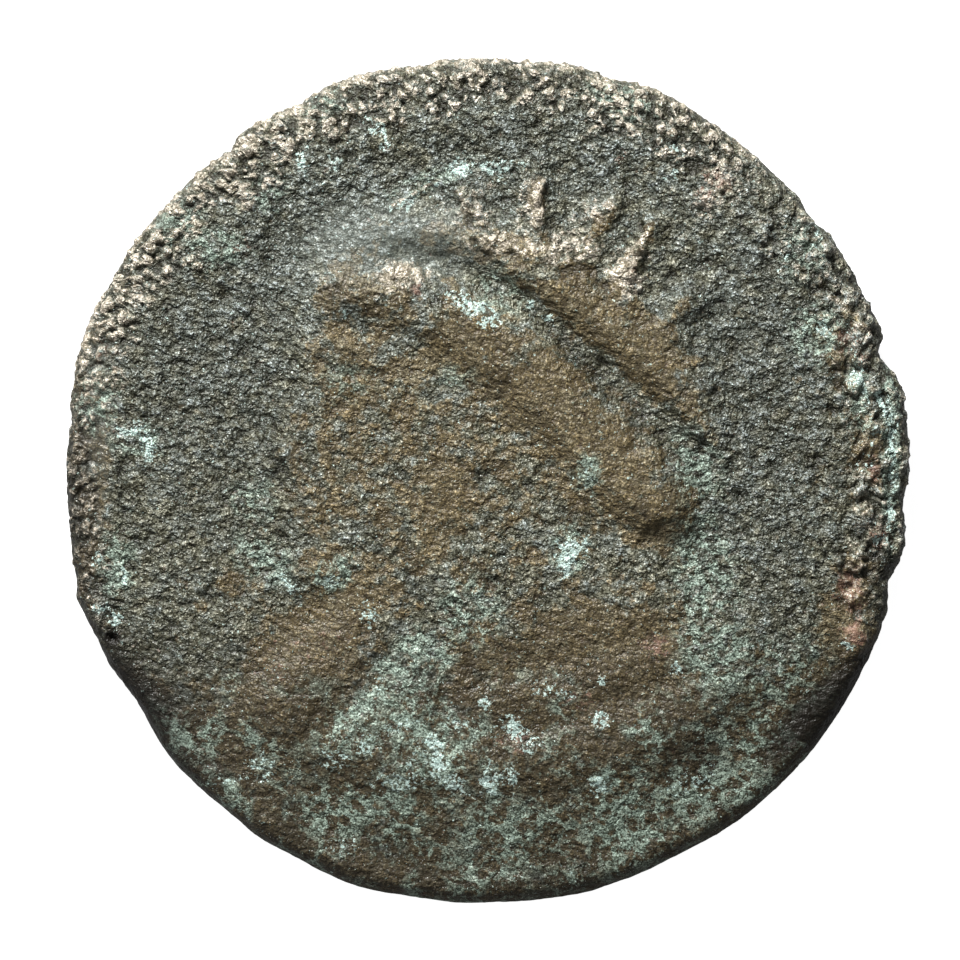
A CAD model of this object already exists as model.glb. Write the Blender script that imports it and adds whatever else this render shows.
# A worn, corroded bronze coin that lies on its reverse on a pale table, seen from straight above.
import bpy
import math
import numpy as np
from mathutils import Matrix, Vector, noise
from mathutils.bvhtree import BVHTree


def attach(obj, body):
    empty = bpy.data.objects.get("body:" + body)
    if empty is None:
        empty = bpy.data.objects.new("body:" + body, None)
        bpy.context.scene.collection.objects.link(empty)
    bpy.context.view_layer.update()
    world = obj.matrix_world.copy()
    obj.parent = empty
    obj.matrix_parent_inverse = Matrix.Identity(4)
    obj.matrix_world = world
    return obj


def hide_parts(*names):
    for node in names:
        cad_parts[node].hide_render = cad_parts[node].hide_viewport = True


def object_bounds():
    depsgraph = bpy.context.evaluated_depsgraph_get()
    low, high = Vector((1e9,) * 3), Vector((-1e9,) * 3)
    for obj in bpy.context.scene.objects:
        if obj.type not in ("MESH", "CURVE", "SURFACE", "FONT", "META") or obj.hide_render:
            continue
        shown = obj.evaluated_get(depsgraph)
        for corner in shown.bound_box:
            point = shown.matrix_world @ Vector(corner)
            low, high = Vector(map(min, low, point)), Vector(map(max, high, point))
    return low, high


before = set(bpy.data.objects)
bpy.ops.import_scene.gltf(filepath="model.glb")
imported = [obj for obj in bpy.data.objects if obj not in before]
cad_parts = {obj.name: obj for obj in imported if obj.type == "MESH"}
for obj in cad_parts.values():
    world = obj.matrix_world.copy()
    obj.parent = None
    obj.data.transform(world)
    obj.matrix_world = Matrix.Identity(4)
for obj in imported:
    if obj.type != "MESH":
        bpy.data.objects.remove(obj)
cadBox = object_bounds()
mm = 0.001
print("frame loaded")

# Sizes are in millimetres and angles in degrees, counted from +X
coin = {
    "obverseRings": 142,
    "edgeBands": 31,
    "reverseRings": 60,
    "sectors": 6,  # ring k has this many points times k
    "edgeRounding": 0.85,
    "edgeSquareness": 0.72,  # 1 for a half round edge, less for a fuller one
    "packedEdgePoints": 180,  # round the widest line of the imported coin, evenly spaced
    "surfaceGrid": 0.1,
    "surfaceReach": 14.4,  # half the side of the grid
    "surfaceSmoothing": 5,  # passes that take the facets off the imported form
    "obverseIsland": (0.345, 0.335),  # middle and radius on the piece's own map
    "reverseIsland": (0.75, 0.24),
}

# How the skin of the metal has gone: depths and sizes in millimetres, and a shift of its own for each pattern
corrosion = {
    "swell": {"depth": 0.05, "size": 3.0, "octaves": 3, "shift": 3.1},
    "grain": {"depth": 0.06, "size": 0.5, "octaves": 3, "shift": 11.7},
    "crumb": {"depth": 0.06, "size": 0.24, "octaves": 2, "shift": 71.0, "onField": 0.3},
    # Lumps: how steep their sides are, the height of the least of them and the level that stays where it was
    "nodule": {"depth": 0.3, "size": 0.42, "shift": 5.0, "steepness": 2.2, "least": 0.25, "level": 0.28,
               "onField": 0.24},
    "lump": {"depth": 0.32, "size": 0.8, "shift": 9.0, "steepness": 1.7, "least": 0.2, "level": 0.16},
    "pit": {"depth": 0.12, "size": 0.7, "shift": 17.0, "steepness": 3.0, "border": 0.5, "share": 0.4},
    "wander": {"size": 1.4, "octaves": 3, "shift": 61.0},  # how the inner border of the crust strays
    "warp": {"depth": 0.16, "size": 0.5, "octaves": 3, "shift": 21.0},  # bends lumps, pits and threads
    "relief": 0.26,  # between hollows and tops, for the colours
}

# Crust on the rim, thick over the top and down the right side: its angles, how softly it ends at them, how
# far in it reaches, how much that strays, the width of its inner slope, and how thick it is
rimCrust = {
    "top": {"from": 48, "to": 168, "soft": 20, "reach": 2.0, "stray": 1.0, "slope": 0.6, "thickness": 1.0},
    "right": {"from": -20, "to": 46, "soft": 14, "reach": 2.3, "stray": 0.7, "slope": 0.7, "thickness": 0.9},
    "left": {"from": 150, "to": 200, "soft": 14, "reach": 1.3, "stray": 0.6, "slope": 0.6, "thickness": 0.7},
}

# Wear and dirt by place
wear = {
    "fieldHeight": 2.45,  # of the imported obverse, between the bust and the rim
    "wornHeight": 0.14,  # above the field, where the bust starts to be worn brown
    "wornSlope": 0.2,
    "rimInside": 2.4,  # from the edge, where the bust's wear ends
    "rimSlope": 0.6,
    "lowerFrom": -4.0,  # where the brown and green of the lower part begin
    "footFrom": -3.0,  # where its calmer and darker skin begins
    "lowerSlope": 5.0,  # over how much both come in
    "wornBrown": 0.62,
    "lowerBrown": 0.85,
    "creamThickness": 0.55,  # of the crust on the crown and leaves
    "smoothCalms": 0.75,  # how much the smooth, brown and lower places take off the roughness
    "brownCalms": 0.55,
    "footCalms": 0.4,
    "reverseRough": 0.55,
    "obverseFrom": 1.0,  # height at which the obverse begins, and over which it comes in
    "obverseSlope": 0.8,
}

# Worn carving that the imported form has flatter: [depth, [x, y, half width], ...]
carving = {
    "swells": [
        [0.13, [-2.8, 5.6, 0.9], [-0.2, 4.3, 1.3], [2.4, 2.2, 1.6], [4.6, -0.4, 1.5], [5.3, -1.0, 1.1]],
        [0.15, [0.8, 6.9, 0.5], [2.5, 5.9, 0.9], [4.3, 4.5, 1.0], [5.6, 3.2, 0.8]],
        [0.1, [4.4, 6.9, 0.5], [4.6, 5.9, 0.5]],
        [0.1, [5.8, 5.1, 0.5], [6.2, 4.6, 0.4]],
        [0.07, [1.4, 5.8, 0.5], [3.9, 3.7, 0.6], [5.4, 2.3, 0.6]],
        [0.14, [5.2, 0.6, 0.8], [6.1, -0.8, 1.1], [6.2, -1.6, 0.9]],
        [0.14, [2.9, 5.3, 0.7], [4.6, 3.9, 0.8], [5.9, 2.8, 0.7], [7.0, 1.6, 0.6]],
        [0.12, [4.4, -2.2, 0.9], [5.8, -2.5, 1.0]],
    ],
    # Rounded lumps on the rim and near it
    "bosses": [
        [0.16, [7.1, 9.4, 0.42], [7.2, 9.3, 0.42]],
        [0.14, [7.7, 10.1, 0.3], [8.2, 9.8, 0.3]],
        [0.14, [11.8, 5.5, 0.45], [11.9, 5.4, 0.45]],
        [0.16, [12.25, 4.8, 0.5], [12.3, 4.6, 0.5]],
        [0.12, [11.5, 4.3, 0.4], [11.6, 4.2, 0.4]],
        [0.14, [12.5, 3.3, 0.45], [12.7, 3.0, 0.45]],
        [0.16, [12.6, 1.5, 0.4], [12.7, 1.2, 0.45]],
        [0.12, [12.4, 0.3, 0.3], [12.3, -0.4, 0.3]],
        [0.14, [12.8, -1.6, 0.4], [12.9, -1.8, 0.4]],
        [0.12, [12.0, -2.6, 0.3], [12.1, -2.8, 0.3]],
        [0.16, [12.2, -3.5, 0.42], [12.1, -3.7, 0.42]],
        [0.12, [11.9, -4.4, 0.32], [11.95, -4.5, 0.32]],
        [0.18, [12.05, -5.2, 0.6], [12.1, -5.3, 0.6]],
        [0.12, [-12.2, 4.8, 0.4], [-12.1, 5.0, 0.4]],
        [0.1, [-11.6, 6.4, 0.35], [-11.5, 6.6, 0.35]],
        [0.1, [-12.8, 3.2, 0.3], [-12.8, 3.4, 0.3]],
    ],
    "grooves": [
        [0.02, [0.4, 7.0, 0.4], [1.4, 5.8, 0.5], [2.6, 4.8, 0.5], [3.9, 3.7, 0.5], [5.4, 2.3, 0.6]],
        [0.06, [1.9, 4.9, 0.5], [3.5, 3.4, 0.6], [5.1, 1.9, 0.7], [6.4, 0.7, 0.8], [7.0, -0.3, 0.7]],
        [0.02, [-0.2, -0.3, 0.5], [1.4, -0.3, 0.5], [2.8, -1.1, 0.6], [5.0, -2.1, 0.7], [6.3, -1.5, 0.6]],
        [0.03, [5.25, 7.2, 0.3], [5.25, 6.0, 0.4], [5.4, 5.4, 0.5], [6.9, 5.2, 0.5]],
        [0.09, [2.4, 6.8, 0.3], [3.3, 7.0, 0.45], [3.8, 6.4, 0.3]],
        [0.04, [1.95, 9.7, 0.13], [2.0, 8.4, 0.16], [1.5, 8.1, 0.13]],
        [0.07, [-1.2, 9.3, 0.16], [-0.6, 8.5, 0.16], [-0.3, 7.6, 0.16], [0.4, 7.1, 0.2]],
        [0.1, [12.3, 3.8, 0.1], [13.0, 3.2, 0.2], [13.35, 1.6, 0.22], [13.2, -1.0, 0.2], [12.8, -2.6, 0.1]],
        [0.08, [-9.9, 9.1, 0.3], [-9.6, 9.3, 0.3]],
        [0.25, [-12.45, -5.2, 0.16], [-12.35, -5.2, 0.16]],
    ],
    "ridges": [
        [0.09, [-1.0, 9.5, 0.2], [-0.65, 9.1, 0.3], [-0.1, 8.5, 0.45]],
        [0.12, [1.8, 9.9, 0.22], [1.55, 9.3, 0.26], [1.7, 8.4, 0.3]],
        [0.08, [1.25, 9.8, 0.25], [1.05, 9.1, 0.14], [1.0, 8.4, 0.2], [1.5, 7.9, 0.3]],
        [0.09, [2.9, 8.6, 0.35], [3.45, 8.8, 0.25], [3.9, 9.05, 0.15]],
        [0.11, [5.2, 8.15, 0.25], [4.95, 7.65, 0.35], [4.7, 7.05, 0.5], [4.1, 6.8, 0.5]],
        [0.1, [4.8, 7.0, 0.45], [4.8, 6.2, 0.4]],
        [0.08, [-0.6, 8.0, 0.45], [0.4, 7.8, 0.5], [1.7, 7.5, 0.55], [2.9, 7.8, 0.6], [3.5, 7.3, 0.4]],
        [0.1, [-3.4, 6.8, 0.35], [-2.8, 6.95, 0.45], [-2.2, 6.6, 0.35]],
        [0.08, [-3.2, 9.0, 0.1], [-2.2, 9.6, 0.12], [-1.6, 9.9, 0.1]],
    ],
    # Threads of pale deposit, where the first value is their strength
    "wisps": [
        [0.7, [-3.2, 8.9, 0.1], [-2.4, 9.3, 0.16], [-1.6, 9.8, 0.1]],
        [0.9, [-3.9, 12.0, 0.1], [-3.6, 11.4, 0.2], [-3.2, 11.0, 0.12]],
        [0.8, [-5.9, 11.2, 0.12], [-6.2, 10.6, 0.2], [-5.9, 9.9, 0.12]],
        [0.7, [-5.1, 11.0, 0.12], [-5.0, 10.2, 0.16], [-5.4, 9.6, 0.1]],
        [1.0, [-12.1, 1.6, 0.12], [-11.5, 1.6, 0.16], [-11.2, 1.2, 0.25], [-11.2, 0.6, 0.2]],
        [0.9, [-11.6, 2.0, 0.1], [-11.2, 1.4, 0.16], [-10.8, 1.7, 0.1]],
        [1.0, [2.4, -1.9, 0.1], [2.7, -2.5, 0.25], [2.6, -3.2, 0.14]],
        [0.9, [2.2, -2.5, 0.12], [2.8, -2.3, 0.2], [3.3, -2.0, 0.1]],
        [1.0, [13.0, 3.0, 0.14], [13.3, 1.8, 0.2], [13.35, 0.2, 0.18], [13.2, -1.4, 0.16],
         [12.9, -2.4, 0.12]],
        [0.8, [12.0, 5.2, 0.14], [12.3, 4.0, 0.2], [12.4, 2.6, 0.14], [12.7, 1.4, 0.14], [12.5, 0.2, 0.12]],
        [0.8, [9.9, 8.5, 0.12], [9.8, 7.4, 0.2], [9.6, 6.6, 0.12]],
        [0.7, [11.0, 9.0, 0.1], [10.9, 8.0, 0.16], [11.1, 7.2, 0.1]],
        [0.9, [5.9, 11.3, 0.1], [6.2, 10.4, 0.14], [6.0, 9.8, 0.1]],
        [0.9, [-12.5, -3.9, 0.12], [-12.4, -4.4, 0.2], [-12.2, -5.0, 0.12]],
        [0.9, [-1.9, -8.3, 0.2], [-1.7, -9.0, 0.3], [-1.2, -9.9, 0.25], [-0.6, -10.3, 0.15]],
        [0.9, [0.1, -9.2, 0.15], [0.0, -9.9, 0.25], [0.5, -10.4, 0.15]],
        [0.5, [0.3, -8.3, 0.2], [0.9, -7.7, 0.3], [1.4, -8.6, 0.2]],
        [0.7, [-3.0, -9.4, 0.15], [-2.2, -9.0, 0.25], [-1.5, -9.3, 0.2]],
    ],
}

# Patches of colour and crust: [x, y, half length, half width, turn, strength], in millimetres and degrees
patches = {
    "brown": [
        [-2.4, 5.5, 1.5, 0.9, -30, 0.6], [-0.6, 4.3, 2.0, 1.2, -30, 1.0], [1.8, 2.6, 2.4, 1.6, -35, 1.0],
        [3.9, 0.8, 2.3, 1.6, -45, 1.1], [5.4, -0.9, 1.7, 1.4, -50, 1.0], [2.3, 6.0, 1.3, 0.6, -35, 0.8],
        [5.3, 4.0, 1.6, 1.0, -50, 1.2], [3.8, 5.2, 1.6, 0.9, -38, 1.0], [-1.5, -0.6, 1.3, 2.0, 0, 0.9],
        [-1.6, 1.7, 1.8, 1.2, 0, 0.5], [-2.2, -2.6, 1.6, 1.0, 0, 0.7], [-3.6, -3.6, 1.2, 1.0, 0, 0.7],
        [-5.0, -4.4, 2.2, 1.2, 35, 1.0], [-5.8, -5.8, 2.2, 1.5, 25, 1.2], [-7.4, -7.2, 2.0, 1.2, 30, 1.1],
        [0.4, -6.0, 2.0, 1.4, 0, 1.0], [3.2, -5.2, 2.8, 1.4, 0, 1.0], [4.9, -5.7, 1.8, 1.6, 0, 1.2],
        [1.0, -7.5, 2.4, 1.1, 0, 1.1], [4.8, -7.2, 2.0, 1.4, 0, 1.1], [1.0, -8.9, 1.2, 0.7, 0, 0.9],
        [-2.6, -10.3, 1.6, 0.8, 0, 1.0], [-0.6, -10.5, 0.8, 0.6, 0, 0.7], [-7.6, -10.4, 1.8, 0.9, -25, 0.8],
        [-2.8, -12.5, 2.2, 0.9, 0, 0.8], [1.6, -13.2, 2.0, 0.6, 0, 0.7], [-9.2, -8.4, 1.5, 0.8, -40, 0.6],
        [-13.2, 0.5, 0.7, 5.0, 0, 0.7], [11.9, -4.6, 1.0, 2.2, -12, 0.9], [-8.6, -3.4, 1.4, 1.2, 0, 0.5],
        [10.6, -7.6, 2.4, 1.2, 50, 1.2], [9.2, -9.6, 2.0, 0.9, 45, 1.0],
        [11.6, 4.4, 0.9, 1.8, 10, 0.7], [12.5, 1.0, 0.7, 2.0, 0, 0.7],
    ],
    "green": [
        [-1.9, -8.7, 1.1, 1.3, 0, 1.0], [-3.6, -7.7, 2.0, 0.8, 30, 1.0], [-2.0, -5.6, 0.9, 0.7, 0, 1.0],
        [-0.6, -4.3, 1.0, 1.1, 0, 0.7], [-3.2, -6.5, 0.6, 0.6, 0, 0.9], [7.2, -3.2, 1.0, 2.4, 8, 0.65],
        [7.5, -5.6, 1.1, 1.4, 30, 0.7], [6.9, 0.4, 0.8, 1.3, 20, 0.6], [4.6, -11.3, 1.6, 1.5, 0, 0.75],
        [6.9, -10.2, 1.8, 1.2, 25, 0.6], [1.0, -11.6, 2.2, 1.2, 0, 0.6], [-4.9, -10.9, 1.5, 1.1, 0, 0.6],
        [3.9, -9.9, 0.5, 0.5, 0, 1.0], [9.6, -6.4, 1.8, 1.2, 40, 0.5], [2.7, -2.3, 0.6, 0.7, 0, 0.9],
        [3.3, 0.2, 0.45, 0.6, 0, 1.0], [11.0, 4.8, 0.9, 0.9, 0, 0.9], [12.2, 2.6, 0.5, 1.2, 0, 0.8],
        [10.4, 7.6, 0.8, 1.1, 0, 0.5], [4.5, 12.5, 1.1, 0.5, -25, 0.9], [-1.9, 9.9, 1.6, 0.35, 25, 0.5],
        [0.4, 6.2, 0.9, 0.9, 0, 0.5], [-5.3, 12.4, 0.8, 0.4, 25, 0.7], [-10.2, 8.5, 0.8, 0.6, 40, 0.7],
        [-9.0, 7.6, 0.9, 0.7, 0, 0.7], [-7.2, 9.4, 0.7, 0.6, 0, 0.5],
        [-12.2, -2.8, 0.6, 1.2, 0, 0.6], [-12.8, 2.6, 0.7, 1.0, 0, 0.6], [-11.5, 1.3, 0.9, 0.6, 0, 0.6],
        [13.3, 1.0, 0.3, 3.0, 0, 1.0], [-7.7, -0.6, 0.8, 0.8, 0, 0.5], [-7.4, -2.6, 1.1, 0.7, -35, 0.6],
        [-5.1, -3.1, 0.8, 0.5, 30, 0.9], [-1.0, 3.4, 0.7, 0.5, 0, 0.4], [-4.6, 3.2, 1.0, 0.7, 0, 0.4],
    ],
    "pale": [
        [-0.5, 5.7, 0.9, 0.33, -28, 0.85], [0.05, 5.25, 0.4, 0.3, 0, 0.8], [1.45, 5.75, 0.16, 0.28, 0, 1.0],
        [2.0, 5.35, 0.3, 0.14, -15, 1.0], [2.65, -2.6, 0.3, 0.45, -20, 1.2], [2.95, -2.2, 0.4, 0.3, 0, 0.9],
        [3.3, 0.2, 0.25, 0.4, 0, 0.6], [-11.2, 1.05, 0.25, 0.5, 0, 1.0], [-11.8, 1.55, 0.5, 0.13, 15, 0.9],
        [-12.0, -3.15, 0.13, 0.3, 0, 1.0], [-12.8, -4.2, 0.35, 0.18, 0, 0.9], [-12.9, -2.6, 0.2, 0.3, 0, 0.7],
        [-1.65, -9.25, 0.32, 0.3, 0, 1.1], [-1.8, -8.6, 0.4, 0.3, 0, 0.8], [-1.15, -9.95, 0.32, 0.28, 0, 1.1],
        [0.1, -9.95, 0.3, 0.4, 0, 1.0], [0.75, -9.75, 0.28, 0.35, 0, 0.9], [0.9, -8.15, 0.35, 0.4, 0, 1.0],
        [3.7, -10.0, 0.32, 0.35, 0, 1.1], [3.7, -7.9, 0.3, 0.3, 0, 0.9], [3.75, -6.6, 0.16, 0.16, 0, 1.0],
        [-3.9, -4.4, 0.3, 0.4, 0, 0.8], [-4.7, 5.5, 0.2, 0.15, 0, 0.7], [-0.1, -7.3, 0.25, 0.25, 0, 0.9],
        [1.8, -6.95, 0.35, 0.2, 0, 0.7], [2.4, -6.95, 0.2, 0.5, 60, 0.6], [6.2, -6.2, 0.25, 0.25, 0, 0.9],
        [-0.9, 10.3, 0.4, 0.35, 0, 1.0], [0.25, 10.25, 0.5, 0.3, 0, 1.0], [1.0, 10.4, 0.4, 0.2, 0, 0.6],
        [-2.6, 9.3, 0.9, 0.1, 35, 0.5], [-2.9, -9.9, 0.8, 0.3, 0, 0.7], [-5.0, -9.2, 0.4, 0.4, 0, 0.6],
        [-7.4, -9.4, 0.5, 0.4, 0, 0.6], [-4.0, -8.8, 0.4, 0.5, 0, 0.6], [13.3, 1.6, 0.14, 1.2, 3, 0.9],
        [-0.9, -8.0, 0.5, 0.2, 0, 0.7], [-2.9, -8.1, 0.8, 0.2, 20, 0.6], [6.6, -10.0, 0.9, 0.3, 10, 0.5],
        [-6.6, -3.4, 0.5, 0.2, -50, 0.8], [-5.2, -3.3, 0.4, 0.25, 20, 0.8], [1.4, -8.7, 0.35, 0.3, 0, 0.65],
        [-3.6, -6.7, 0.2, 0.35, 0, 0.6], [11.8, -5.4, 0.3, 0.12, -20, 0.9], [12.2, 3.4, 0.25, 0.4, 0, 0.8],
        [11.1, 5.0, 0.3, 0.3, 0, 0.8], [-8.4, -9.9, 1.0, 0.12, 10, 0.5], [-4.7, -12.1, 0.4, 0.3, 0, 0.5],
    ],
    "cream": [
        [-0.4, 8.9, 0.7, 0.9, -40, 0.8], [0.4, 7.8, 1.4, 0.5, 0, 0.8], [2.6, 7.7, 1.2, 0.6, 0, 0.9],
        [3.5, 8.8, 0.8, 0.4, 20, 0.8], [4.6, 6.9, 0.7, 1.0, 0, 1.0], [1.6, 9.0, 0.4, 1.1, 5, 0.9],
        [-2.8, 6.7, 0.9, 0.5, 0, 1.0], [-4.9, 6.3, 0.7, 0.5, 0, 0.7],
        [5.8, 4.9, 0.5, 0.3, 0, 0.5], [7.2, 9.1, 0.5, 0.5, 0, 0.9], [-12.2, 4.6, 0.6, 1.2, -20, 0.6],
    ],
    "copper": [
        [11.9, -3.5, 0.45, 0.7, 0, 1.0], [12.15, -4.2, 0.3, 0.3, 0, 0.8], [12.1, -5.1, 0.45, 0.5, 0, 1.0],
        [12.7, 0.4, 0.25, 0.5, 0, 0.9], [12.9, -1.8, 0.3, 0.5, 0, 0.8], [7.2, 9.4, 0.35, 0.3, 0, 0.8],
        [7.6, 9.9, 0.6, 0.3, -35, 0.9], [-2.35, 6.3, 0.25, 0.2, 0, 1.0], [4.75, 6.9, 0.2, 0.35, 0, 0.8],
        [3.0, -7.2, 0.8, 0.4, 0, 0.5], [5.5, -5.5, 0.5, 0.4, 0, 0.8], [11.8, 4.6, 0.5, 0.5, 0, 0.7],
        [12.3, 3.9, 0.4, 0.5, 0, 0.6], [-12.7, 4.2, 0.3, 0.5, 0, 0.5], [4.4, 10.6, 0.15, 0.3, -30, 0.7],
        [0.9, -8.6, 0.7, 0.4, 0, 0.6], [-6.0, -5.6, 1.4, 0.7, 20, 0.4], [-8.0, 7.6, 0.4, 0.3, 0, 0.5],
    ],
    "smooth": [
        [-2.9, 7.9, 3.0, 1.3, 0, 1.0], [-4.6, 7.6, 1.6, 0.9, 0, 0.8], [-12.9, 2.0, 0.5, 3.2, 0, 0.9],
    ],
    "cool": [
        [-5.5, 7.4, 3.6, 2.6, 20, 1.0], [-9.0, 4.0, 2.6, 3.4, -20, 0.6], [3.0, 10.8, 5.0, 1.6, -10, 0.6],
        [9.0, 5.0, 2.6, 3.6, 20, 0.7], [8.8, 0.0, 2.2, 3.4, 0, 0.6], [-0.4, 9.6, 2.6, 1.4, 0, 0.7],
    ],
    "dim": [
        [6.9, -8.9, 2.2, 1.8, 20, 1.4], [11.2, -7.4, 1.0, 3.6, -50, 1.7], [9.3, -9.9, 0.9, 2.6, -45, 1.0],
        [-12.4, -5.2, 0.24, 0.18, 0, 2.5], [-9.85, 9.15, 0.4, 0.28, 0, 1.4], [1.0, -13.2, 7.0, 0.8, 0, 1.1],
        [-5.0, -11.4, 3.6, 1.5, -25, 0.6], [12.9, -2.6, 0.6, 2.2, 0, 0.8], [7.0, 3.6, 1.0, 1.2, 0, 0.4],
        [-13.4, 0.3, 0.6, 4.6, 0, 0.6], [-9.5, 1.0, 3.5, 6.0, 0, 0.3], [9.5, 1.0, 3.0, 6.0, 0, 0.3],
        [6.8, 0.5, 0.8, 0.6, 0, 0.8], [0.5, -9.6, 4.0, 1.2, 0, 0.3], [-9.6, -8.2, 2.0, 1.2, -40, 0.3],
        [9.0, 6.4, 0.9, 1.3, 30, 0.4],
    ],
}


def smooth(value):
    share = np.clip(value, 0.0, 1.0)
    return share * share * (3.0 - 2.0 * share)


def strokeMask(stroke, x, y):
    # 1 on the middle line of a stroke, 0 from its border outwards
    nearest = np.full(x.shape, np.inf)
    for (ax, ay, aWidth), (bx, by, bWidth) in zip(stroke[:-1], stroke[1:]):
        lengthSquared = (bx - ax) ** 2 + (by - ay) ** 2
        share = np.clip(((x - ax) * (bx - ax) + (y - ay) * (by - ay)) / lengthSquared, 0.0, 1.0)
        away = np.hypot(x - ax - (bx - ax) * share, y - ay - (by - ay) * share)
        nearest = np.minimum(nearest, away / (aWidth + (bWidth - aWidth) * share) - 1.0)
    return smooth(-nearest)


def carved(name, x, y):
    # The deepest or highest stroke at each place
    return np.maximum.reduce([depth * strokeMask(stroke, x, y) for depth, *stroke in carving[name]])


def patchMask(name, x, y):
    mask = np.zeros(x.shape)
    for px, py, halfLength, halfWidth, turn, strength in patches[name]:
        c, s = math.cos(math.radians(turn)), math.sin(math.radians(turn))
        u = ((x - px) * c + (y - py) * s) / halfLength
        v = ((y - py) * c - (x - px) * s) / halfWidth
        mask = np.maximum(mask, strength * np.exp(-0.7 * (u * u + v * v) ** 1.5))
    return mask


def softNoise(name, further=0.0):
    # Soft noise from about -1 to 1 at the coin's points, whose largest forms are about its size across
    kind = corrosion[name]
    shift = kind["shift"] + further
    offset = Vector((shift, shift * 0.37, shift * 1.9))
    fading, finer = 0.7, 2.1  # from one octave to the next
    scaled = points / kind["size"]
    return np.array([noise.fractal(Vector(p) + offset, fading, finer, kind["octaves"]) for p in scaled])


def cells(places, name):
    # Lumps that meet in sharp gaps: how far each place is from the nearest gap, and its lump's chance value
    kind = corrosion[name]
    shift = kind["shift"]
    offset = Vector((shift, shift * 1.3, shift * 0.6))
    away = np.zeros(len(places))
    chance = np.zeros(len(places))
    for i, p in enumerate(places / kind["size"]):
        distances, seeds = noise.voronoi(Vector(p) + offset)
        away[i] = distances[1] - distances[0]
        chance[i] = noise.noise(seeds[0] * 7.3) * 0.5 + 0.5  # the factor takes neighbours' values apart
    return away, chance


def domes(places, name):
    # Rounded lumps of unequal height, with 0 in the gaps between them
    kind = corrosion[name]
    away, chance = cells(places, name)
    return smooth(away * kind["steepness"]) * (kind["least"] + (1 - kind["least"]) * chance)


class PackedForm:
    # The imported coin's surface, read as smooth heights over a grid, and its outline

    def __init__(self, node):
        mesh = node.data
        self.points = np.array([v.co for v in mesh.vertices]) / mm
        triangles = [list(p.vertices) for p in mesh.polygons]
        tree = BVHTree.FromPolygons([Vector(p) for p in self.points], triangles)
        self.step = 360.0 / coin["packedEdgePoints"]
        angles = np.degrees(np.arctan2(self.points[:, 1], self.points[:, 0]))
        radii = np.hypot(self.points[:, 0], self.points[:, 1])
        steps = np.round(angles / self.step).astype(int) % coin["packedEdgePoints"]
        self.outline = np.array([radii[steps == i].max() for i in range(coin["packedEdgePoints"])])
        self.reach = coin["surfaceReach"]
        self.count = int(2 * self.reach / coin["surfaceGrid"]) + 1
        clear = 10.0  # well above and below the coin
        self.top = self.heights(tree, clear, -1.0)
        self.bottom = self.heights(tree, -clear, 1.0)

    def edgeRadius(self, angle):
        return np.interp(angle, np.arange(coin["packedEdgePoints"]) * self.step, self.outline, period=360.0)

    def shoulder(self, angle):
        return self.edgeRadius(angle) - coin["edgeRounding"]

    def heights(self, tree, start, direction):
        line = np.linspace(-self.reach, self.reach, self.count)
        x, y = np.meshgrid(line, line)
        radius = np.hypot(x, y)
        justInside = 0.02  # past the shoulder the surface turns over, so the shoulder's height is kept
        inner = self.shoulder(np.degrees(np.arctan2(y, x))) - justInside
        share = np.minimum(1.0, inner / np.maximum(radius, 1e-6))
        found = [tree.ray_cast(Vector((a, b, start)), Vector((0, 0, direction)))[0]
                 for a, b in zip((x * share).ravel(), (y * share).ravel())]
        grid = np.array([place.z for place in found]).reshape(x.shape)
        for _ in range(coin["surfaceSmoothing"]):
            for axis in (0, 1):
                grid = (np.roll(grid, 1, axis) + 2.0 * grid + np.roll(grid, -1, axis)) / 4.0
        return grid

    def at(self, grid, x, y):
        u = (x + self.reach) / (2 * self.reach) * (self.count - 1)
        v = (y + self.reach) / (2 * self.reach) * (self.count - 1)
        i, j = u.astype(int), v.astype(int)
        a, b = u - i, v - j
        low = grid[j, i] * (1 - a) + grid[j, i + 1] * a
        high = grid[j + 1, i] * (1 - a) + grid[j + 1, i + 1] * a
        return low * (1 - b) + high * b


form = PackedForm(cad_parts["coin"])
print("packed form read")


def edgeProfile(halfHeight):
    # Places evenly spaced along the edge's rounded profile: how far out, from 0 to 1, and up, from 1 to -1
    fineSteps = 720
    turn = np.linspace(math.pi / 2, -math.pi / 2, fineSteps + 1)
    outwards = np.maximum(np.cos(turn), 0.0) ** coin["edgeSquareness"]
    upwards = np.sign(turn) * np.abs(np.sin(turn)) ** coin["edgeSquareness"]
    steps = np.hypot(np.diff(outwards) * coin["edgeRounding"], np.diff(upwards) * halfHeight)
    way = np.concatenate([[0.0], np.cumsum(steps)])
    even = np.linspace(0.0, way[-1], coin["edgeBands"] + 1)[1:]
    return zip(np.interp(even, way, outwards), np.interp(even, way, upwards))


def coinRings():
    # Rings of points from the middle of the obverse over the edge to the middle of the reverse
    rings = []
    faceRings, backRings = coin["obverseRings"], coin["reverseRings"]

    def around(count):
        return np.arange(count) * 360.0 / count

    def ring(angle, radius, height):
        turn = np.radians(angle)
        rings.append(np.column_stack([radius * np.cos(turn), radius * np.sin(turn), height]))

    def flatRing(count, share, grid):
        angle = around(count)
        radius = form.shoulder(angle) * share
        turn = np.radians(angle)
        ring(angle, radius, form.at(grid, radius * np.cos(turn), radius * np.sin(turn)))

    for k in range(faceRings + 1):
        flatRing(max(1, coin["sectors"] * k), k / faceRings, form.top)
    angle = around(coin["sectors"] * faceRings)
    top = rings[-1][:, 2]
    for outwards, upwards in edgeProfile(top.mean() / 2):
        ring(angle, form.shoulder(angle) + coin["edgeRounding"] * outwards, top / 2 * (1 + upwards))
    for k in range(backRings - 1, -1, -1):
        flatRing(max(1, coin["sectors"] * k), k / backRings, form.bottom)
    return rings


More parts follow.
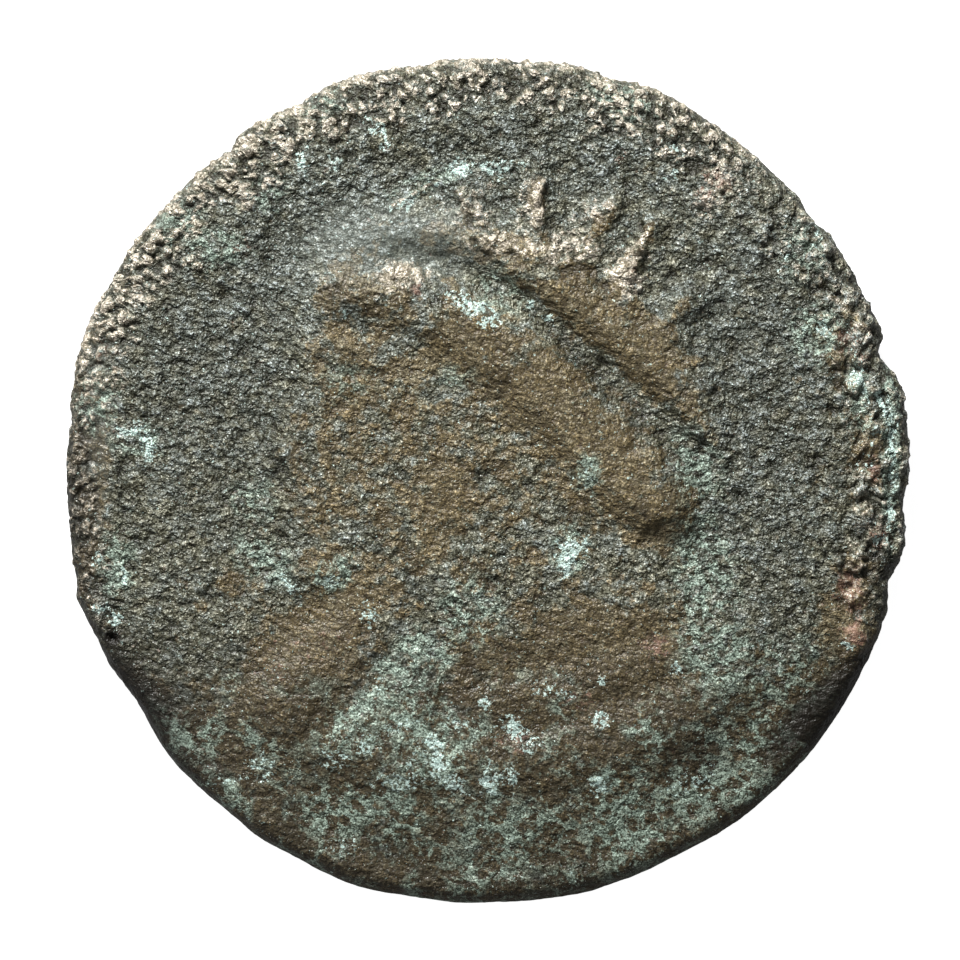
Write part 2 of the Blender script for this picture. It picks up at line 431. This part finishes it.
def zipRings(faces, inner, outer, innerStart, outerStart, turned):
    # Triangles between two rings of any point counts, each given by its count and first vertex
    innerSteps = inner if inner > 1 else 0
    i = j = 0
    while i < innerSteps or j < outer:
        if j < outer and (i >= innerSteps or (j + 0.5) * inner <= (i + 0.5) * outer):
            corners = [innerStart + i % inner, outerStart + j % outer, outerStart + (j + 1) % outer]
            j += 1
        else:
            corners = [innerStart + i % inner, outerStart + j % outer, innerStart + (i + 1) % inner]
            i += 1
        faces.append(corners[::-1] if turned else corners)


def coinMesh():
    rings = coinRings()
    starts = np.cumsum([0] + [len(r) for r in rings])
    faces = []
    for i in range(1, len(rings)):
        a, b = len(rings[i - 1]), len(rings[i])
        if a > b:
            zipRings(faces, b, a, int(starts[i]), int(starts[i - 1]), True)
        else:
            zipRings(faces, a, b, int(starts[i - 1]), int(starts[i]), False)
    return np.vstack(rings), faces, starts


def vertexNormals(points, faces):
    corners = points[np.array(faces)]
    across = np.cross(corners[:, 1] - corners[:, 0], corners[:, 2] - corners[:, 0])
    normals = np.zeros_like(points)
    for k in range(3):
        np.add.at(normals, np.array(faces)[:, k], across)
    return normals / np.linalg.norm(normals, axis=1)[:, None]


points, faces, starts = coinMesh()
x, y, z = points.T
radius = np.hypot(x, y)
angle = np.degrees(np.arctan2(y, x))
fromEdge = form.edgeRadius(angle) - radius
obverse = smooth((z - wear["obverseFrom"]) / wear["obverseSlope"])  # 1 on the obverse, 0 on the reverse
print(f"{len(points)} points, {len(faces)} triangles")


def arc(low, high, soft):
    # 1 between two angles round the coin, 0 past them
    middle, half = (low + high) / 2, (high - low) / 2
    away = np.abs((angle - middle + 180.0) % 360.0 - 180.0)
    return smooth((half - away) / soft + 0.5)


def rimBand(name):
    band = rimCrust[name]
    reach = band["reach"] + band["stray"] * wander
    return arc(band["from"], band["to"], band["soft"]) * smooth((reach - fromEdge) / band["slope"]) * obverse


def onObverse(name):
    # The reverse repeats the same patches turned round and weaker
    return patchMask(name, x, y) * obverse + 0.6 * patchMask(name, -x, -y) * (1 - obverse)


wander = softNoise("wander")
rimTop, rimRight, rimLeft = rimBand("top"), rimBand("right"), rimBand("left")
cream = patchMask("cream", x, y) * obverse
smoothSkin = patchMask("smooth", x, y) * obverse

swell = softNoise("swell")
grain = softNoise("grain")
crumbs = softNoise("crumb")
bends = [softNoise("warp", further) for further in (0.0, 12.0, 26.0)]
warp = corrosion["warp"]["depth"] * np.column_stack(bends)
nodules = domes(points + warp, "nodule")
lumps = domes(points + 2 * warp, "lump")
pit = corrosion["pit"]
pitAway, pitChance = cells(points + warp, "pit")
pits = smooth(pitAway * pit["steepness"] - pit["border"]) * smooth((pitChance - 1 + pit["share"]) * 6)
print("corrosion worked out")

ridges = carved("ridges", x, y) * obverse
swells = carved("swells", x, y) * obverse
bosses = carved("bosses", *(points[:, :2] + warp[:, :2]).T) * obverse
grooves = carved("grooves", x, y) * obverse

# Where the skin is worn brown, where crust covers it, and how rough it is
overField = form.at(form.top, x, y) - wear["fieldHeight"]
worn = smooth((overField - wear["wornHeight"]) / wear["wornSlope"]) * obverse
worn *= smooth((fromEdge - wear["rimInside"]) / wear["rimSlope"])
lower = smooth((wear["lowerFrom"] - y) / wear["lowerSlope"])
foot = smooth((wear["footFrom"] - y) / wear["lowerSlope"])
brown = np.maximum.reduce([onObverse("brown"), wear["wornBrown"] * worn, wear["lowerBrown"] * lower])
crust = np.maximum.reduce([
    rimCrust["top"]["thickness"] * rimTop, rimCrust["right"]["thickness"] * rimRight,
    rimCrust["left"]["thickness"] * rimLeft, wear["creamThickness"] * cream])
crust *= 0.6 + 0.4 * smooth(fromEdge / 0.4)  # thinner on the very edge
rough = (1.0 - wear["smoothCalms"] * smoothSkin) * (1.0 - wear["brownCalms"] * np.minimum(brown, 1))
rough *= wear["reverseRough"] + (1 - wear["reverseRough"]) * obverse
rough *= 1.0 - wear["footCalms"] * foot

# Relief of the skin, along its normals
grainHeight = corrosion["grain"]["depth"] * grain * rough
crumbShare = np.maximum(crust, corrosion["crumb"]["onField"] * rough)
crumbHeight = corrosion["crumb"]["depth"] * crumbs * crumbShare
noduleShare = np.maximum(crust * (1 - 0.5 * rimRight), corrosion["nodule"]["onField"] * rough)
noduleHeight = corrosion["nodule"]["depth"] * (nodules - corrosion["nodule"]["level"]) * noduleShare
lumpShare = np.maximum(rimRight, 0.3 * rimTop) * (0.4 + 0.6 * smooth(fromEdge / 0.6))
lumpHeight = corrosion["lump"]["depth"] * (lumps - corrosion["lump"]["level"]) * lumpShare
pitDepth = pit["depth"] * pits * rough * (1 - crust)
carvingHeight = ridges * (0.4 + 1.0 * nodules) + bosses - grooves
fine = grainHeight + crumbHeight + noduleHeight + lumpHeight - pitDepth + carvingHeight
broad = corrosion["swell"]["depth"] * swell + swells
topEdge = arc(20, 175, 30) * smooth(1.3 - fromEdge / 0.6) * smooth(z / 2.0)  # rubbed a little lighter
rise = smooth(0.5 + fine / corrosion["relief"] + 0.04 * topEdge)  # 0 in hollows and gaps, 1 on tops
points = points + vertexNormals(points, faces) * (broad + fine)[:, None]

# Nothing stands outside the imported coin's box
low, high = np.array(cadBox[0]) / mm, np.array(cadBox[1]) / mm
points = np.clip(points, low, high)


def discMap():
    # Two round islands, one for each side, that meet on the widest ring. How far out a point lies on its
    # island is its way along the skin from the middle.
    rings = [points[starts[i]:starts[i + 1]] for i in range(len(starts) - 1)]
    widest = coin["obverseRings"] + (coin["edgeBands"] + 1) // 2
    meanRadius = [np.hypot(*r[:, :2].T).mean() for r in rings]
    meanHeight = [r[:, 2].mean() for r in rings]
    way = np.concatenate([[0.0], np.cumsum(np.hypot(np.diff(meanRadius), np.diff(meanHeight)))])
    ringOf = np.repeat(np.arange(len(rings)), [len(r) for r in rings])
    turn = np.radians(angle)

    def island(placed, share, side):
        middle, radius = placed
        reach = share * radius
        return np.column_stack([middle + side * reach * np.cos(turn), middle + reach * np.sin(turn)])

    obverseMap = island(coin["obverseIsland"], way[ringOf] / way[widest], 1)
    reverseMap = island(coin["reverseIsland"], (way[-1] - way[ringOf]) / (way[-1] - way[widest]), -1)
    corners = np.array(faces)
    onTop = ringOf[corners].max(axis=1) <= widest
    return np.where(onTop[:, None, None], obverseMap[corners], reverseMap[corners]).reshape(-1, 2)


def addCoin():
    mesh = bpy.data.meshes.new("wornCoin")
    mesh.from_pydata((points * mm).tolist(), [], faces)
    mesh.shade_smooth()
    mesh.uv_layers.new(name="OFBake").data.foreach_set("uv", discMap().ravel())
    threads = carved("wisps", *(points[:, :2] + 2 * warp[:, :2]).T) * obverse
    footEdge = smooth((3.0 - fromEdge) / 3.0) * smooth((-1.0 - y) / 8.0)
    leftEdge = smooth((2.0 - fromEdge) / 2.0) * arc(165, 220, 30)
    shade = np.maximum(patchMask("dim", x, y), foot) + 0.3 * footEdge + 0.9 * leftEdge
    masks = {
        "brown": 1.2 * brown,
        "green": np.maximum(0.85 * onObverse("green"), (0.2 + 0.5 * wander) * lower),
        "pale": np.maximum(0.9 * onObverse("pale"), threads),
        "cream": np.maximum.reduce([cream, rimTop, 0.5 * rimRight, 0.6 * rimLeft, 9 * ridges]),
        "copper": onObverse("copper"),
        "dim": shade * smooth(z / 1.4),
        "calm": np.maximum.reduce([smoothSkin, 0.7 * np.minimum(brown, 1.0), 0.8 * foot]) * obverse,
        "cool": onObverse("cool"),
        "sheen": smoothSkin,
        "rise": rise,
    }
    for name, values in masks.items():
        layer = mesh.attributes.new(name, "FLOAT", "POINT")
        layer.data.foreach_set("value", values.astype(np.float32))
    bend = mesh.attributes.new("bend", "FLOAT_VECTOR", "POINT")
    bend.data.foreach_set("vector", warp.ravel().astype(np.float32))
    made = bpy.data.objects.new("worn_coin", mesh)
    bpy.context.scene.collection.objects.link(made)
    return made


# Shader nodes
def addNode(tree, kind, inputs, **settings):
    made = tree.nodes.new(kind)
    for name, value in settings.items():
        setattr(made, name, value)
    for name, value in inputs.items():
        if isinstance(value, bpy.types.NodeSocket):
            tree.links.new(value, made.inputs[name])
        else:
            made.inputs[name].default_value = value
    return made


def calc(tree, operation, a, b, clamp=False):
    return addNode(tree, "ShaderNodeMath", {0: a, 1: b}, operation=operation, use_clamp=clamp).outputs[0]


def over(tree, amount, under, top):
    # The mix node's sockets 0, 6 and 7 are its factor and its two colours
    made = addNode(tree, "ShaderNodeMix", {0: amount, 6: under, 7: top}, data_type="RGBA")
    return made.outputs[2]


def mask(tree, name):
    return addNode(tree, "ShaderNodeAttribute", {}, attribute_name=name).outputs["Fac"]


def speckleGroup():
    # Where the density is high the specks join up, where it is low few are left
    tree = bpy.data.node_groups.new("speckles", "ShaderNodeTree")
    for name, kind in [("Place", "Vector"), ("Density", "Float"), ("Size", "Float"), ("Softness", "Float"),
                       ("Seed", "Float")]:
        tree.interface.new_socket(name, in_out="INPUT", socket_type="NodeSocket" + kind)
    tree.interface.new_socket("Mask", in_out="OUTPUT", socket_type="NodeSocketFloat")
    given = addNode(tree, "NodeGroupInput", {}).outputs
    scale = calc(tree, "DIVIDE", 1.0, given["Size"])
    shifted = addNode(tree, "ShaderNodeVectorMath", {0: given["Place"], 1: given["Seed"]}, operation="ADD")
    cloud = addNode(tree, "ShaderNodeTexNoise", {"Vector": shifted.outputs[0], "Scale": scale, "Detail": 3.0,
                    "Roughness": 0.75}).outputs["Fac"]
    contrast, lift = 3.4, -1.2  # stretch the noise to about 0 to 1
    spread = addNode(tree, "ShaderNodeMath", {0: cloud, 1: contrast, 2: lift}, operation="MULTIPLY_ADD")
    reach = calc(tree, "ADD", calc(tree, "SUBTRACT", spread.outputs[0], 1.0), given["Density"])
    made = calc(tree, "DIVIDE", reach, given["Softness"], clamp=True)
    addNode(tree, "NodeGroupOutput", {"Mask": made})
    return tree


patina = {
    # Patterns, in forms per millimetre
    "flecks": 18.0,
    "fine": 23.0,
    "small": 9.0,
    "middle": 4.5,
    "clouds": 0.8,
    "mottle": 1.7,
    "grains": 4.4,
    "islands": 2.3,
    "slant": math.radians(-30),
    "stretch": 1.5,
    # What each pattern adds to the tone of the bare patina and to its fine relief
    "toneShares": {"fleck": 0.2, "fine": 0.36, "small": 0.24, "middle": 0.1, "clouds": 0.2, "rise": 0.18,
                   "grains": -0.12, "fleckMiddle": -0.08},
    "heightShares": {"small": 0.9, "middle": 1.3, "grains": -0.9, "fleckMiddle": -0.08},
    # Tone of the bare patina, from its pores to its bright grains
    "tones": [(0.365, (0.009, 0.0085, 0.0045)), (0.455, (0.032, 0.031, 0.018)), (0.54, (0.067, 0.067, 0.046)),
              (0.61, (0.117, 0.119, 0.09)), (0.74, (0.38, 0.385, 0.335))],
    "warmTint": (1.02, 0.99, 0.88, 1),
    "coolTint": (0.96, 1.06, 1.2, 1),
    "brownTint": (1.02, 0.8, 0.52, 1),
    "brownSkin": (0.088, 0.066, 0.038, 1),
    "thinPowder": (0.045, 0.06, 0.042, 1),
    "thickPowder": (0.31, 0.395, 0.325, 1),
    "darkCopper": (0.03, 0.014, 0.01, 1),
    "copper": (0.2, 0.115, 0.08, 1),
    "thinCrust": (0.2, 0.17, 0.12, 1),
    "thickCrust": (0.72, 0.64, 0.53, 1),
    "thinPale": (0.2, 0.3, 0.27, 1),
    "thickPale": (0.6, 0.74, 0.68, 1),
    "sheen": (0.152, 0.176, 0.162, 1),
    "gap": (0.02, 0.018, 0.011, 1),
    "pore": (0.006, 0.0045, 0.002, 1),
    "glint": (0.62, 0.63, 0.58, 1),
    # Size in millimetres, softness and seed of each colour's specks
    "brownSpecks": (0.8, 0.3, 3.0),
    "greenSpecks": (0.26, 0.35, 8.0),
    "copperSpecks": (0.25, 0.5, 14.0),
    "creamSpecks": (0.2, 0.5, 19.0),
    "paleSpecks": (0.15, 0.22, 27.0),
    # How much of what lies under it each colour hides
    "skinCover": 0.34,
    "sheenCover": 0.24,
    "powderCover": 0.5,
    "netCover": 0.8,
    "copperCover": 0.85,
    "crustCover": 0.8,
    "paleCover": 0.85,
    "glintCover": 0.55,
    "bumpHeight": 0.00011,  # in metres
    "metallic": 0.15,
    "specular": 0.35,
}


def patinaMaterial():
    material = bpy.data.materials.new("patinatedBronze")
    material.use_nodes = True
    tree = material.node_tree
    tree.nodes.clear()
    speckles = speckleGroup()
    perMillimetre = 1 / mm
    place = addNode(tree, "ShaderNodeVectorMath", {
        0: addNode(tree, "ShaderNodeTexCoord", {}).outputs["Object"], 1: (perMillimetre,) * 3},
        operation="MULTIPLY").outputs[0]
    bend = addNode(tree, "ShaderNodeAttribute", {}, attribute_name="bend").outputs["Vector"]
    bent, wavy = [addNode(tree, "ShaderNodeVectorMath", {0: bend, 1: (share,) * 3, 2: place},
                          operation="MULTIPLY_ADD").outputs[0] for share in (1.0, 0.3)]
    slanted = addNode(tree, "ShaderNodeMapping", {
        "Vector": wavy, "Rotation": (0, 0, patina["slant"]), "Scale": (patina["stretch"], 1, 1)},
        vector_type="TEXTURE").outputs[0]

    def specks(density, name):
        size, softness, seed = patina[name]
        return addNode(tree, "ShaderNodeGroup", {"Place": place, "Density": density, "Size": size,
                       "Softness": softness, "Seed": seed}, node_tree=speckles).outputs["Mask"]

    def clouded(vector, scale, detail, roughness=0.6):
        return addNode(tree, "ShaderNodeTexNoise", {"Vector": vector, "Scale": scale, "Detail": detail,
                       "Roughness": roughness}).outputs["Fac"]

    def between(value, low, high, toLow=0.0, toHigh=1.0):
        return addNode(tree, "ShaderNodeMapRange", {"Value": value, "From Min": low, "From Max": high,
                       "To Min": toLow, "To Max": toHigh}, clamp=True).outputs[0]

    def tinted(color, tint):
        return addNode(tree, "ShaderNodeMix", {0: 1.0, 6: color, 7: tint}, data_type="RGBA",
                       blend_type="MULTIPLY").outputs[2]

    def product(a, b):
        return calc(tree, "MULTIPLY", a, b)

    def total(*shares):
        # Adds up values, each times its weight
        value = product(*shares[0])
        for part, weight in shares[1:]:
            value = calc(tree, "ADD", value, product(part, weight))
        return value

    def rounds(vector, scale):
        return addNode(tree, "ShaderNodeTexVoronoi", {"Vector": vector, "Scale": scale}, feature="F1").outputs

    # Grain: flecks with their own tone, and rounder grains that meet in creases
    flecks = rounds(place, patina["flecks"])
    fleck = addNode(tree, "ShaderNodeSeparateColor", {"Color": flecks["Color"]}).outputs
    islands = rounds(bent, patina["islands"])["Distance"]
    patterns = {
        "fleck": fleck[0],
        "fleckMiddle": flecks["Distance"],
        "grains": rounds(slanted, patina["grains"])["Distance"],
        "fine": clouded(place, patina["fine"], 1.0),
        "small": clouded(wavy, patina["small"], 1.0),
        "middle": clouded(slanted, patina["middle"], 2.0),
        "clouds": clouded(place, patina["clouds"], 4.0, 0.65),
        "rise": mask(tree, "rise"),
    }
    fine, middle, rise = patterns["fine"], patterns["middle"], patterns["rise"]
    tone = total(*[(patterns[name], share) for name, share in patina["toneShares"].items()])

    ramp = addNode(tree, "ShaderNodeValToRGB", {"Fac": tone})
    tones = patina["tones"]
    for element, (position, color) in zip(ramp.color_ramp.elements, (tones[0], tones[-1])):
        element.position = position
        element.color = (*color, 1)
    for position, color in tones[1:-1]:
        ramp.color_ramp.elements.new(position).color = (*color, 1)
    blotches = clouded(place, patina["mottle"], 4.0, 0.7)
    mottle = between(total((blotches, 1.0), (mask(tree, "cool"), 0.16)), 0.42, 0.64)
    color = tinted(ramp.outputs["Color"], over(tree, mottle, patina["warmTint"], patina["coolTint"]))
    brownColor = over(tree, patina["skinCover"], tinted(color, patina["brownTint"]), patina["brownSkin"])
    color = over(tree, specks(mask(tree, "brown"), "brownSpecks"), color, brownColor)
    sheen = between(mask(tree, "sheen"), 0.1, 1.0, 0.0, patina["sheenCover"])
    color = over(tree, sheen, color, patina["sheen"])
    color = over(tree, between(mask(tree, "dim"), 0.0, 2.0), color, patina["pore"])

    # Green powder lies in the green places and in the creases between brown islands
    powderDepth = between(total((fine, 0.6), (fleck[0], 0.4)), 0.38, 0.68)
    powder = over(tree, powderDepth, patina["thinPowder"], patina["thickPowder"])
    greenMask = specks(mask(tree, "green"), "greenSpecks")
    color = over(tree, product(greenMask, patina["powderCover"]), color, powder)
    creases = between(total((islands, 1.0), (middle, 1.0), (fine, 0.3)), 1.16, 1.26)
    net = product(creases, between(mask(tree, "green"), 0.1, 0.5, 0.0, patina["netCover"]))
    color = over(tree, net, color, powder)

    # Bare copper, cream crust on the tops and dirt in the gaps between them
    copperMask = specks(mask(tree, "copper"), "copperSpecks")
    copperColor = over(tree, between(tone, 0.38, 0.68), patina["darkCopper"], patina["copper"])
    color = over(tree, product(copperMask, patina["copperCover"]), color, copperColor)
    crustMask = product(specks(mask(tree, "cream"), "creamSpecks"), between(rise, 0.35, 0.65))
    crustDepth = between(total((middle, 0.5), (fleck[2], 0.25), (fine, 0.25)), 0.44, 0.62)
    crustColor = over(tree, crustDepth, patina["thinCrust"], patina["thickCrust"])
    color = over(tree, product(crustMask, patina["crustCover"]), color, crustColor)
    gaps = product(between(rise, 0.32, 0.05), between(mask(tree, "cream"), 0.1, 0.5, 0.25, 0.65))
    color = over(tree, gaps, color, patina["gap"])

    # Pale spots and threads, single bright flecks, and the darkest places over all
    paleMask = specks(product(mask(tree, "pale"), 0.85), "paleSpecks")
    paleColor = over(tree, between(fine, 0.35, 0.65), patina["thinPale"], patina["thickPale"])
    color = over(tree, product(paleMask, patina["paleCover"]), color, paleColor)
    glints = product(between(fleck[1], 0.965, 0.975), between(flecks["Distance"], 0.35, 0.2))
    color = over(tree, product(glints, patina["glintCover"]), color, patina["glint"])
    color = over(tree, between(mask(tree, "dim"), 1.3, 2.0), color, patina["pore"])

    height = total(*[(patterns[name], share) for name, share in patina["heightShares"].items()])
    height = product(height, between(mask(tree, "calm"), 0.0, 1.0, 1.0, 0.35))
    bump = addNode(tree, "ShaderNodeBump", {
        "Height": height, "Strength": 1.0, "Distance": patina["bumpHeight"]})
    skinRoughness = between(patterns["clouds"], 0.3, 0.7, 0.4, 0.58)
    roughness = calc(tree, "SUBTRACT", skinRoughness, product(crustMask, 0.12))
    shader = addNode(tree, "ShaderNodeBsdfPrincipled", {
        "Base Color": color, "Roughness": roughness, "Metallic": patina["metallic"],
        "Specular IOR Level": patina["specular"], "Normal": bump.outputs[0]})
    addNode(tree, "ShaderNodeOutputMaterial", {"Surface": shader.outputs[0]})
    return material


piece = addCoin()
piece.data.materials.append(patinaMaterial())
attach(piece, "root")
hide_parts("coin")
print("coin made")

# Table, light and camera. Sizes here are in metres.
studio = {
    "tableSize": 1.2,
    "tableGlow": 0.97,  # only as the camera sees it, so that it doesn't light the edge
    "tableColor": (0.3, 0.3, 0.3, 1),
    "tableRoughness": 0.7,
    "keyFrom": (-0.1, 0.3, 0.21),
    "keySize": 0.09,
    "keyPower": 4.1,
    "fillFrom": (-0.2, -0.1, 0.3),
    "fillSize": 0.3,
    "fillPower": 0.3,
    "skyStrength": 0.12,
    "lens": 250.0,
    "sensor": 36.0,
    "viewWidth": 0.03176,
    "viewMiddle": (-0.00025, 0.00002),
}


def addTable():
    half = studio["tableSize"] / 2
    mesh = bpy.data.meshes.new("table")
    corners = [(-half, -half, 0), (half, -half, 0), (half, half, 0), (-half, half, 0)]
    mesh.from_pydata(corners, [], [(0, 1, 2, 3)])
    table = bpy.data.objects.new("table", mesh)
    bpy.context.scene.collection.objects.link(table)
    material = bpy.data.materials.new("paleTable")
    material.use_nodes = True
    shader = material.node_tree.nodes["Principled BSDF"]
    shader.inputs["Base Color"].default_value = studio["tableColor"]
    shader.inputs["Roughness"].default_value = studio["tableRoughness"]
    shader.inputs["Emission Color"].default_value = (1, 1, 1, 1)
    glow = addNode(material.node_tree, "ShaderNodeMath", {
        0: addNode(material.node_tree, "ShaderNodeLightPath", {}).outputs["Is Camera Ray"],
        1: studio["tableGlow"]}, operation="MULTIPLY")
    material.node_tree.links.new(glow.outputs[0], shader.inputs["Emission Strength"])
    mesh.materials.append(material)


def addLight(name, place, size, power):
    light = bpy.data.lights.new(name, "AREA")
    light.size = size
    light.energy = power
    lamp = bpy.data.objects.new(name, light)
    lamp.location = place
    lamp.rotation_mode = "QUATERNION"
    lamp.rotation_quaternion = (-Vector(place)).to_track_quat("-Z", "Y")
    bpy.context.scene.collection.objects.link(lamp)


def addCamera():
    data = bpy.data.cameras.new("camera")
    data.lens = studio["lens"]
    data.sensor_width = studio["sensor"]
    data.clip_start = 0.01
    data.clip_end = 10.0
    camera = bpy.data.objects.new("camera", data)
    middleHeight = cadBox[1].z
    distance = studio["viewWidth"] * studio["lens"] / studio["sensor"]
    camera.location = (*studio["viewMiddle"], middleHeight / 2 + distance)
    bpy.context.scene.collection.objects.link(camera)
    bpy.context.scene.camera = camera


addTable()
addLight("key", studio["keyFrom"], studio["keySize"], studio["keyPower"])
addLight("fill", studio["fillFrom"], studio["fillSize"], studio["fillPower"])
sky = bpy.data.worlds.new("sky")
sky.use_nodes = True
sky.node_tree.nodes["Background"].inputs["Strength"].default_value = studio["skyStrength"]
sky.node_tree.nodes["Background"].inputs["Color"].default_value = (1, 1, 1, 1)
bpy.context.scene.world = sky
addCamera()
bpy.context.scene.view_settings.view_transform = "Standard"
print("studio set")
